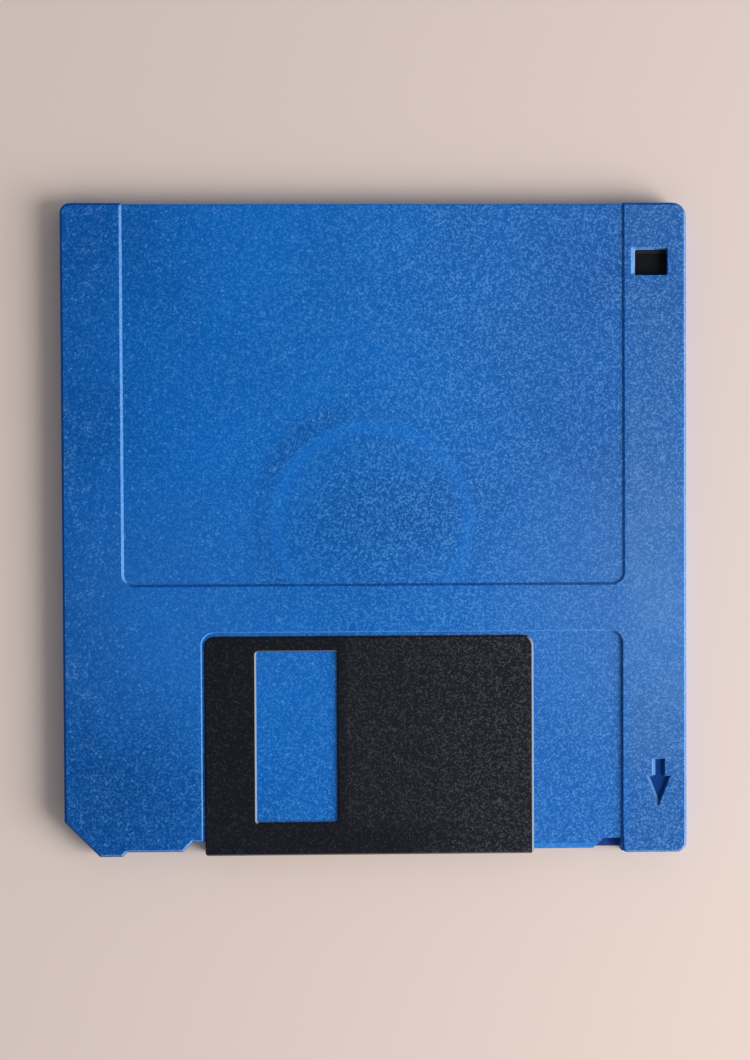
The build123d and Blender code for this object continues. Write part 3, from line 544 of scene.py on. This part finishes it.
def liner_material(look):
    """The liners' non-woven fabric."""
    # Rayon and polyester fibres, thermally bonded: off-white felt of crossing fibres with a
    # pattern of bonding dots 0.9 mm apart. Fibres are 0.02 mm and are drawn 0.08 mm wide.
    material, tree, shader, place = start_material(
        "Non-woven rayon, point-bonded", {"IOR": 1.5, "Sheen Weight": 0.2})
    web = 0.0
    for angle in (20, 75, 140):
        turned = add_node(tree, "Mapping", place, (0, 0, 0), (0, 0, radians(angle)),
                          (0.08, 1.0, 1.0))
        strands = add_node(tree, "TexNoise", turned, per_metre(0.08), 1.0, 0.5)
        strands = add_node(tree, "MapRange", strands, 0.45, 0.6, **SMOOTH)
        web = add_node(tree, "Math", strands, web, **HIGHEST)
    dots = add_node(tree, "TexVoronoi", place, per_metre(0.9), 0.0, 0.5, 2.0, 0.0)
    bonds = add_node(tree, "MapRange", dots, 0.18, 0.3, 1.0, 0.0, **SMOOTH)
    pressed = add_node(tree, "Math", bonds, 0.5, **TIMES)
    body = add_node(tree, "Mix", web, linear("B9B5AA"), look.liner, **TINT)
    body = add_node(tree, "Mix", pressed, body, linear("CFCBC0"), **TINT)
    rough = add_node(tree, "MapRange", bonds, 0.0, 1.0, 0.9, 0.6, **SMOOTH)
    bump = add_node(tree, "Bump", 0.6, 0.05 * MM)
    tree.links.new(web, bump.node.inputs["Height"])
    connect(tree, shader, body, rough, bump)
    return material


def tape_material():
    """The double-sided ring that bonds the hub to the film."""
    # Acrylic adhesive transfer tape: milky and faintly tacky, with trapped air bubbles that
    # are 0.35 mm apart.
    material, tree, shader, place = start_material("Acrylic transfer tape", {"IOR": 1.47})
    bubbles = add_node(tree, "TexVoronoi", place, per_metre(0.35))
    rims = add_node(tree, "MapRange", bubbles, 0.12, 0.24, 1.0, 0.0, **SMOOTH)
    body = add_node(tree, "Mix", rims, linear("CFC9B8"), linear("EDEAE0"), **TINT)
    rough = add_node(tree, "MapRange", rims, 0.0, 1.0, 0.35, 0.5, **SMOOTH)
    connect(tree, shader, body, rough)
    return material


def lifter_material():
    """The thin leaf under the lower liner."""
    # Polyester sheet, extruded and die-cut: amber and glossy, with faint lines of extrusion
    # 0.3 mm apart.
    material, tree, shader, place = start_material("Polyester sheet, extruded", {"IOR": 1.57})
    along = add_node(tree, "Mapping", place, (0, 0, 0), (0, 0, radians(15)), (0.05, 1.0, 1.0))
    lines = add_node(tree, "TexNoise", along, per_metre(0.3), 2.0, 0.5)
    streaks = add_node(tree, "MapRange", lines, 0.35, 0.65, **SMOOTH)
    body = add_node(tree, "Mix", streaks, linear("B58A4A"), linear("C79C5C"), **TINT)
    rough = add_node(tree, "MapRange", lines, 0.3, 0.7, 0.18, 0.28, **SMOOTH)
    connect(tree, shader, body, rough)
    return material


def wear_disc_material():
    """The disc that the spindle's tip runs against."""
    # High-density polyethylene, skived from a billet: waxy white with fine parallel knife
    # lines 0.4 mm apart and a grey polished spot where the spindle touches.
    material, tree, shader, place = start_material("Polyethylene, skived", {
        "IOR": 1.5, "Subsurface Weight": 0.1, "Subsurface Radius": (0.4 * MM,) * 3})
    lines = add_node(tree, "TexWave", place, wave_scale(0.395), 0.4,
                     output="Fac", wave_type="BANDS", bands_direction="X")
    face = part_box("hub_wear_disc")[0].z
    from_centre = add_node(tree, "VectorMath", place, (0.0, HUB_Y, face), **APART)
    spot = add_node(tree, "MapRange", from_centre, 0.8 * MM, 2.0 * MM, 0.6, 0.0, **SMOOTH)
    body = add_node(tree, "Mix", spot, linear("E9E8E2"), linear("8A8984"), **TINT)
    rough = add_node(tree, "MapRange", lines, 0.0, 1.0, 0.38, 0.5, **SMOOTH)
    connect(tree, shader, body, rough)
    return material


def spring_material():
    """The spring's wire."""
    # Music wire, cold-drawn: grey steel with drawing lines along the wire, which on so thin a
    # wire show only as a broken streak, drawn from grain 0.1 mm across.
    material, tree, shader, place = start_material("Music wire, cold-drawn", {"Metallic": 1.0})
    lines = add_node(tree, "TexNoise", place, per_metre(0.1), 4.0, 0.7)
    streaks = add_node(tree, "MapRange", lines, 0.35, 0.65, **SMOOTH)
    body = add_node(tree, "Mix", streaks, linear("8F9092"), linear("B9BABB"), **TINT)
    rough = add_node(tree, "MapRange", lines, 0.3, 0.7, 0.25, 0.45, **SMOOTH)
    connect(tree, shader, body, rough)
    return material


class FLOPPY_OT_case(bpy.types.Operator):
    """Finishes the two shells of the case"""
    bl_idname = "floppy.case"
    bl_label = "Case shells"

    def execute(self, context):
        plastic = case_material(context.scene.floppy_case)
        dress("upper_shell", plastic)
        dress("lower_shell", plastic)
        return {"FINISHED"}


class FLOPPY_OT_shutter(bpy.types.Operator):
    """Finishes the shutter"""
    bl_idname = "floppy.shutter"
    bl_label = "Shutter"

    def execute(self, context):
        dress("shutter", shutter_material(context.scene.floppy_shutter))
        return {"FINISHED"}


class FLOPPY_OT_tab(bpy.types.Operator):
    """Finishes the write-protect slide"""
    bl_idname = "floppy.tab"
    bl_label = "Write-protect slide"

    def execute(self, context):
        dress("write_protect_tab", tab_material())
        return {"FINISHED"}


class FLOPPY_OT_media(bpy.types.Operator):
    """Finishes the film, the hub and the ring that bonds them"""
    bl_idname = "floppy.media"
    bl_label = "Film and hub"

    def execute(self, context):
        look = context.scene.floppy_media
        dress("magnetic_disk", film_material(look))
        dress("hub", hub_material(look))
        dress("hub_adhesive_ring", tape_material())
        return {"FINISHED"}


class FLOPPY_OT_liners(bpy.types.Operator):
    """Finishes the liners, the leaf that lifts one of them and the wear disc"""
    bl_idname = "floppy.liners"
    bl_label = "Liners, leaf and wear disc"

    def execute(self, context):
        fabric = liner_material(context.scene.floppy_media)
        dress("upper_liner", fabric)
        dress("lower_liner", fabric)
        dress("liner_lifter", lifter_material())
        dress("hub_wear_disc", wear_disc_material())
        return {"FINISHED"}


def wire_run(step, steps):
    """Extrudes the wire's open end straight on."""
    for _ in range(steps):
        bpy.ops.mesh.extrude_region_move(
            TRANSFORM_OT_translate={"value": tuple(Vector(step) / steps)})


def wire_turn(centre, axis, angle, steps, rise=0.0):
    """Spins the wire's open end round an axis, and lifts it as it turns."""
    # mesh.spin turns clockwise round its axis, so the angle is given as negative.
    for _ in range(steps):
        bpy.ops.mesh.spin(steps=1, angle=-angle / steps, center=tuple(centre), axis=tuple(axis))
        if rise:
            bpy.ops.transform.translate(value=(0.0, 0.0, rise / steps))


def leg_to_coil(end, centre, radius, side):
    """Angle and length of the straight leg from a point to where it meets the coil."""
    across = centre - end
    distance = hypot(across.x, across.y)
    angle = atan2(across.y, across.x) + side * asin(radius / distance)
    return angle, sqrt(distance**2 - radius**2)


class FLOPPY_OT_spring(bpy.types.Operator):
    """Winds the shutter's spring from one length of round wire"""
    bl_idname = "floppy.spring"
    bl_label = "Shutter spring"

    def execute(self, context):
        shape = context.scene.floppy_spring
        up = Vector((0, 0, 1))
        fixed = Vector(shape.fixed_end)
        moving = Vector((*shape.moving_end, fixed.z))
        centre = Vector((*shape.coil_centre, fixed.z))
        fixed_angle, fixed_leg = leg_to_coil(fixed, centre, shape.coil, -1)
        moving_angle, moving_leg = leg_to_coil(moving, centre, shape.coil, 1)
        turns = 1 + (moving_angle - (fixed_angle - pi)) / (2 * pi)
        out = Vector((cos(fixed_angle), sin(fixed_angle), 0))
        home = -Vector((cos(moving_angle), sin(moving_angle), 0))
        rise = turns * shape.pitch

        bpy.ops.object.select_all(action="DESELECT")
        bpy.ops.mesh.primitive_circle_add(
            vertices=WIRE_SIDES, radius=shape.wire / 2, fill_type="NOTHING",
            location=fixed - up * shape.tip)
        spring = context.active_object
        spring.name = "wire_spring"
        bpy.ops.object.transform_apply(location=True, rotation=True, scale=True)
        bpy.ops.object.mode_set(mode="EDIT")
        bpy.ops.mesh.select_all(action="SELECT")
        wire_run(up * (shape.tip - shape.bend), 1)
        wire_turn(fixed + (out - up) * shape.bend, up.cross(out), pi / 2, BEND_STEPS)
        wire_run(out * (fixed_leg - shape.bend), LEG_STEPS)
        wire_turn(centre, up, turns * 2 * pi, int(turns * COIL_STEPS_PER_TURN), rise)
        wire_run(home * (moving_leg - shape.bend), LEG_STEPS)
        corner = moving + up * rise
        wire_turn(corner - (home + up) * shape.bend, home.cross(-up), pi / 2, BEND_STEPS)
        wire_run(-up * (shape.tip - shape.bend), 1)
        bpy.ops.mesh.select_all(action="DESELECT")
        bpy.ops.mesh.select_non_manifold()
        bpy.ops.mesh.edge_face_add()
        bpy.ops.mesh.select_all(action="SELECT")
        bpy.ops.mesh.normals_make_consistent(inside=False)
        bpy.ops.object.mode_set(mode="OBJECT")
        bpy.ops.object.shade_smooth_by_angle(angle=radians(50))
        spring.data.materials.append(spring_material())
        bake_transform(spring)
        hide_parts("shutter_spring")
        return {"FINISHED"}


class FLOPPY_OT_stage(bpy.types.Operator):
    """Lays the pale floor, hangs the lights and sets up the camera"""
    bl_idname = "floppy.stage"
    bl_label = "Floor, lights and camera"

    def execute(self, context):
        look = context.scene.floppy_studio
        bpy.ops.object.select_all(action="DESELECT")
        bpy.ops.mesh.primitive_plane_add(size=FLOOR_SIZE, location=(0, 0, FLOOR_Z))
        floor = context.active_object
        floor.name = "studio_floor"
        paper = start_material("Matt paper backdrop", {
            "Base Color": look.floor, "Roughness": 0.85, "Specular IOR Level": 0.15})[0]
        floor.data.materials.append(paper)

        # One large soft window-like light, low at the right, and weak light from all round
        # that is dimmest straight overhead and strongest on the window's side.
        bpy.ops.object.light_add(type="AREA", location=KEY_PLACE)
        key = context.active_object
        key.name = "key_light"
        key.data.shape = "DISK"
        key.data.size = KEY_SIZE
        key.data.energy = look.key_power
        key.data.color = linear("FFFDFA")[:3]
        key.rotation_euler = (-key.location).to_track_quat("-Z", "Y").to_euler()
        sky = bpy.data.worlds.new("Soft studio")
        sky.use_nodes = True
        tree = sky.node_tree
        backdrop = tree.nodes["Background"]
        backdrop.inputs["Color"].default_value = linear("F4F6FA")
        direction = add_node(tree, "TexCoord", output="Generated")
        height = add_node(tree, "SeparateXYZ", direction, output="Z")
        side = add_node(tree, "VectorMath", direction, WINDOW_SIDE, operation="DOT_PRODUCT")
        dimmer = add_node(tree, "MapRange", height, 0.45, 0.98, look.ambient,
                          look.ambient * 0.15, **SMOOTH)
        near_window = add_node(tree, "MapRange", side, -0.8, 0.8, 0.6, 1.25, **SMOOTH)
        strength = add_node(tree, "Math", dimmer, near_window, **TIMES)
        tree.links.new(strength, backdrop.inputs["Strength"])
        context.scene.world = sky

        # The camera looks straight down with a very small tilt.
        bpy.ops.object.camera_add(location=CAMERA_PLACE, rotation=CAMERA_TURN)
        camera = context.active_object
        camera.name = "photo_camera"
        camera.data.sensor_fit = "VERTICAL"
        camera.data.sensor_height = SENSOR_HEIGHT_MM
        camera.data.lens = FOCAL_PIXELS * SENSOR_HEIGHT_MM / FRAME_HEIGHT_PIXELS
        camera.data.clip_start = 0.01
        context.scene.camera = camera
        context.scene.view_settings.view_transform = "Standard"
        return {"FINISHED"}


class FLOPPY_PT_panel(bpy.types.Panel):
    """Lists the pieces of the floppy disk and their settings"""
    bl_idname = "FLOPPY_PT_panel"
    bl_label = "Floppy disk"
    bl_space_type = "VIEW_3D"
    bl_region_type = "UI"
    bl_category = "Floppy"

    def draw(self, context):
        scene = context.scene
        for group, operator in PIECES:
            box = self.layout.box()
            box.operator(operator)
            if group:
                settings = getattr(scene, group)
                for name in settings.__annotations__:
                    box.prop(settings, name)


# What the panel shows: each operator, under the settings that it reads, if it has any.
PIECES = [
    ("floppy_case", "floppy.case"),
    ("floppy_shutter", "floppy.shutter"),
    (None, "floppy.tab"),
    ("floppy_media", "floppy.media"),
    (None, "floppy.liners"),
    ("floppy_spring", "floppy.spring"),
    ("floppy_studio", "floppy.stage"),
]
GROUPS = {
    "floppy_case": CaseLook,
    "floppy_shutter": ShutterLook,
    "floppy_spring": SpringShape,
    "floppy_media": MediaLook,
    "floppy_studio": StudioLook,
}
CLASSES = (FLOPPY_OT_case, FLOPPY_OT_shutter, FLOPPY_OT_tab, FLOPPY_OT_media,
           FLOPPY_OT_liners, FLOPPY_OT_spring, FLOPPY_OT_stage, FLOPPY_PT_panel)


def register():
    """Registers the settings, the operators and the panel."""
    for name, group in GROUPS.items():
        bpy.utils.register_class(group)
        setattr(bpy.types.Scene, name, bpy.props.PointerProperty(type=group))
    for blender_class in CLASSES:
        bpy.utils.register_class(blender_class)


def unregister():
    """Takes out what register added."""
    for blender_class in reversed(CLASSES):
        bpy.utils.unregister_class(blender_class)
    for name, group in GROUPS.items():
        delattr(bpy.types.Scene, name)
        bpy.utils.unregister_class(group)


def main():
    """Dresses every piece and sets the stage."""
    register()
    bpy.ops.floppy.case()
    bpy.ops.floppy.shutter()
    bpy.ops.floppy.tab()
    bpy.ops.floppy.media()
    bpy.ops.floppy.liners()
    bpy.ops.floppy.spring()
    bpy.ops.floppy.stage()


if __name__ == "__main__":
    main()
